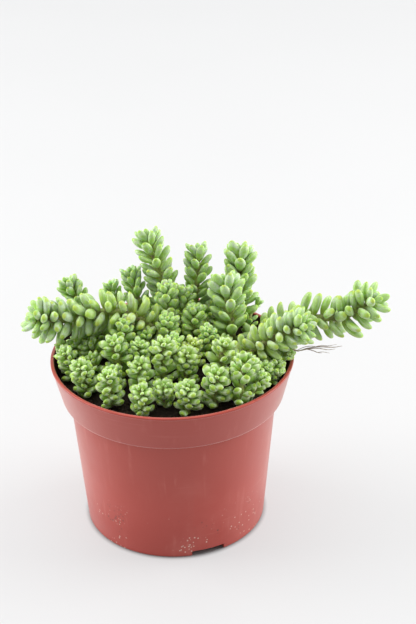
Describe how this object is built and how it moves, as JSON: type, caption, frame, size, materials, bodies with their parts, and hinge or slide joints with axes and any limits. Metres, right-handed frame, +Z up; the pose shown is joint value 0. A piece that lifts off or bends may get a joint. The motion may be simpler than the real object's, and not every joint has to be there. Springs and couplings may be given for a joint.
{
  "type": "potted burros tail plant",
  "caption": "Trailing succulent with plump overlapping leaves on upright, compact and trailing stems, in a round tapered plastic nursery pot of soil.",
  "frame": {"origin": "middle of the pot's underside, on the surface that it stands on", "axes": "+Z up out of the pot; -Y is the front of the picture's view; +X is the side of the longest trailing stem"},
  "size_m": [0.1839, 0.12, 0.1448],
  "materials": {
    "pot_plastic": "satin moulded terracotta-red plastic",
    "potting_soil": "matte dark peat with pale grit",
    "long_leaves": "waxy blue-green bloom",
    "head_leaves": "waxy bloom, fresh green",
    "yellow_leaves": "waxy yellow-green",
    "dry_root": "dry matte fibre"
  },
  "bodies": {
    "root": {"pot": "pot_plastic", "soil": "potting_soil", "trailing_stem_left": "long_leaves", "trailing_stem_right": "long_leaves", "trailing_stem_front": "long_leaves", "tall_stem_left": "long_leaves", "tall_stem_middle": "long_leaves", "tall_stem_back": "long_leaves", "tall_stem_front": "long_leaves", "short_stem_left": "long_leaves", "short_stem_left_back": "long_leaves", "short_stem_back": "long_leaves", "short_stem_right_back": "long_leaves", "head_01": "head_leaves", "head_02": "head_leaves", "head_03": "head_leaves", "head_04": "head_leaves", "head_05": "head_leaves", "head_06": "head_leaves", "head_07": "head_leaves", "head_08": "head_leaves", "head_09": "head_leaves", "head_10": "head_leaves", "head_11": "yellow_leaves", "head_12": "head_leaves", "head_13": "head_leaves", "head_14": "head_leaves", "head_15": "head_leaves", "head_16": "head_leaves", "head_17": "head_leaves", "head_18": "head_leaves", "head_19": "head_leaves", "head_20": "head_leaves", "head_21": "head_leaves", "head_22": "head_leaves", "head_23": "head_leaves", "head_24": "head_leaves", "head_25": "head_leaves", "head_26": "head_leaves", "head_27": "head_leaves", "head_28": "head_leaves", "head_29": "head_leaves", "head_30": "head_leaves", "head_31": "head_leaves", "head_32": "head_leaves", "head_33": "head_leaves", "head_34": "head_leaves", "dry_rootlet": "dry_root"}
  },
  "joints": []
}
